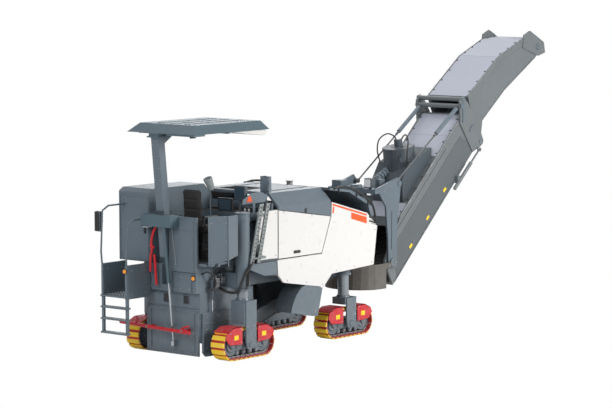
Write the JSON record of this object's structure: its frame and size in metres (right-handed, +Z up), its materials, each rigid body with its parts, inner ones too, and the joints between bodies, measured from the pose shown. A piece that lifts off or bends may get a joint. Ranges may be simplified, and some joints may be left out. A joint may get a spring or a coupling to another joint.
{
  "type": "cold planer milling machine",
  "caption": "Compact tracked cold planer: rear milling drum, operator's platform under a canopy, white-flanked engine bay and a long folding front conveyor.",
  "frame": {"origin": "middle of the whole machine's footprint, on the ground", "axes": "+X forward along the discharge conveyor, +Y to the machine's left, +Z up"},
  "size_m": [11.02, 2.394, 5.3],
  "materials": {
    "canopy_blue": "satin blue grey moulded canopy",
    "chrome": "polished rod",
    "conveyor_grey": "satin grey paint",
    "dark_slate": "satin dark grey paint",
    "engine_grey": "engine grey",
    "red": "red paint",
    "rubber": "dark rubber",
    "seat_black": "black seat cover",
    "slate": "satin slate grey paint",
    "steel": "worn steel",
    "white": "semi-gloss white paint",
    "yellow": "polyurethane track pads"
  },
  "bodies": {
    "machine": {"canopy_bracket": "canopy_blue", "control_console": "dark_slate", "conveyor_gantry": "slate", "corner_panel": "slate", "drum_housing": "slate", "engine": "engine_grey", "front_cowl": "slate", "left_compartment": "slate", "lower_tank_left": "slate", "lower_tank_right": "slate", "main_frame": "slate", "operator_seat": "seat_black", "platform": "slate", "primary_conveyor": "dark_slate", "rear_guard": "slate", "rear_ladder": "slate", "right_rack": "steel", "side_panel_left": "white", "side_panel_right": "white"},
    "drum": {"milling_drum": "steel"},
    "edge_plate_left": {"side_plate_left": "slate"},
    "edge_plate_right": {"side_plate_right": "slate"},
    "scraper": {"scraper_blade": "slate", "scraper_bar": "red", "scraper_rod": "chrome"},
    "canopy": {"canopy_post": "slate", "canopy_roof": "canopy_blue"},
    "lid": {"engine_lid": "slate"},
    "door_left": {"side_door_left": "white"},
    "door_right": {"side_door_right": "white"},
    "slew": {"slew_frame": "slate", "transfer_hopper": "rubber"},
    "conveyor": {"lower_conveyor": "conveyor_grey", "dust_housing": "dark_slate"},
    "conveyor_tip": {"upper_conveyor": "conveyor_grey"},
    "stays": {"stay_rod_left": "chrome", "stay_rod_right": "chrome"},
    "stay_barrels": {"stay_cylinder_left": "slate", "stay_cylinder_right": "slate"},
    "fold_rods": {"fold_rod_left": "chrome", "fold_rod_right": "chrome"},
    "leg_rear_left": {"column_rear_left": "chrome"},
    "track_unit_rear_left": {"track_frame_rear_left": "slate", "track_rear_left": "yellow"},
    "leg_rear_right": {"column_rear_right": "chrome"},
    "track_unit_rear_right": {"track_frame_rear_right": "slate", "track_rear_right": "yellow"},
    "leg_front_left": {"column_front_left": "chrome"},
    "track_unit_front_left": {"track_frame_front_left": "slate", "track_front_left": "yellow"},
    "leg_front_right": {"column_front_right": "chrome"},
    "track_unit_front_right": {"track_frame_front_right": "slate", "track_front_right": "yellow"}
  },
  "joints": [
    {"name": "lift_rear_left", "type": "slide", "parent": "machine", "child": "leg_rear_left", "axis": [0, 0, 1], "range_m": [-0.35, 0.1]},
    {"name": "steer_rear_left", "type": "hinge", "parent": "leg_rear_left", "child": "track_unit_rear_left", "pos_m": [-4.11, 0.99, 1], "axis": [0, 0, 1], "range_deg": [-10, 10]},
    {"name": "lift_rear_right", "type": "slide", "parent": "machine", "child": "leg_rear_right", "axis": [0, 0, 1], "range_m": [-0.35, 0.1]},
    {"name": "steer_rear_right", "type": "hinge", "parent": "leg_rear_right", "child": "track_unit_rear_right", "pos_m": [-4.11, -0.99, 1], "axis": [0, 0, 1], "range_deg": [-10, 10]},
    {"name": "lift_front_left", "type": "slide", "parent": "machine", "child": "leg_front_left", "axis": [0, 0, 1], "range_m": [-0.35, 0.1]},
    {"name": "steer_front_left", "type": "hinge", "parent": "leg_front_left", "child": "track_unit_front_left", "pos_m": [-1.136, 0.77, 0.72], "axis": [0, 0, 1], "range_deg": [-25, 25]},
    {"name": "lift_front_right", "type": "slide", "parent": "machine", "child": "leg_front_right", "axis": [0, 0, 1], "range_m": [-0.35, 0.1]},
    {"name": "steer_front_right", "type": "hinge", "parent": "leg_front_right", "child": "track_unit_front_right", "pos_m": [-1.136, -0.77, 0.72], "axis": [0, 0, 1], "range_deg": [-25, 25]},
    {"name": "drum_spin", "type": "hinge", "parent": "machine", "child": "drum", "pos_m": [-4.11, 0, 0.575], "axis": [0, 1, 0], "continuous": true},
    {"name": "edge_plate_left_lift", "type": "slide", "parent": "machine", "child": "edge_plate_left", "axis": [0, 0, 1], "range_m": [0, 0.3]},
    {"name": "edge_plate_right_lift", "type": "slide", "parent": "machine", "child": "edge_plate_right", "axis": [0, 0, 1], "range_m": [0, 0.3]},
    {"name": "scraper_lift", "type": "slide", "parent": "machine", "child": "scraper", "axis": [-0.1064, 0, 0.9943], "range_m": [0, 0.25]},
    {"name": "canopy_lift", "type": "slide", "parent": "machine", "child": "canopy", "axis": [-0.0995, 0, 0.995], "range_m": [-0.45, 0]},
    {"name": "lid_open", "type": "hinge", "parent": "machine", "child": "lid", "pos_m": [-1.81, 0, 2.74], "axis": [0, 1, 0], "range_deg": [0, 45]},
    {"name": "door_right_open", "type": "hinge", "parent": "machine", "child": "door_right", "pos_m": [-3.23, -1.05, 2.458], "axis": [-0.988, 0, 0.1541], "range_deg": [0, 75]},
    {"name": "door_left_open", "type": "hinge", "parent": "machine", "child": "door_left", "pos_m": [-3.23, 1.05, 2.458], "axis": [0.988, 0, -0.1541], "range_deg": [0, 75]},
    {"name": "conveyor_slew", "type": "hinge", "parent": "machine", "child": "slew", "pos_m": [0.19, 0, 2.25], "axis": [0, 0, 1], "range_deg": [-50, 50]},
    {"name": "conveyor_raise", "type": "hinge", "parent": "slew", "child": "conveyor", "pos_m": [0.59, 0, 1.15], "axis": [0, -1, 0], "range_deg": [-18, 4]},
    {"name": "conveyor_fold", "type": "hinge", "parent": "conveyor", "child": "conveyor_tip", "pos_m": [3.35, 0, 3.22], "axis": [0, 1, 0], "range_deg": [0, 165]},
    {"name": "stay_swing", "type": "hinge", "parent": "slew", "child": "stays", "pos_m": [0.79, 0, 2.6], "axis": [0, -1, 0], "range_deg": [-24.3, 5.8]},
    {"name": "stay_stretch", "type": "slide", "parent": "stays", "child": "stay_barrels", "axis": [0.8248, 0, 0.5654], "range_m": [-0.095, 0.392]},
    {"name": "fold_stroke", "type": "slide", "parent": "conveyor", "child": "fold_rods", "axis": [0.7442, 0, 0.6679], "range_m": [-0.01, 0.366]}
  ],
  "couplings": [
    {"joint": "stay_swing", "follows": "conveyor_raise", "ratio": 1.3202},
    {"joint": "stay_stretch", "follows": "conveyor_raise", "m_per_rad": -1.2146},
    {"joint": "fold_stroke", "follows": "conveyor_fold", "m_per_rad": 0.1237}
  ]
}
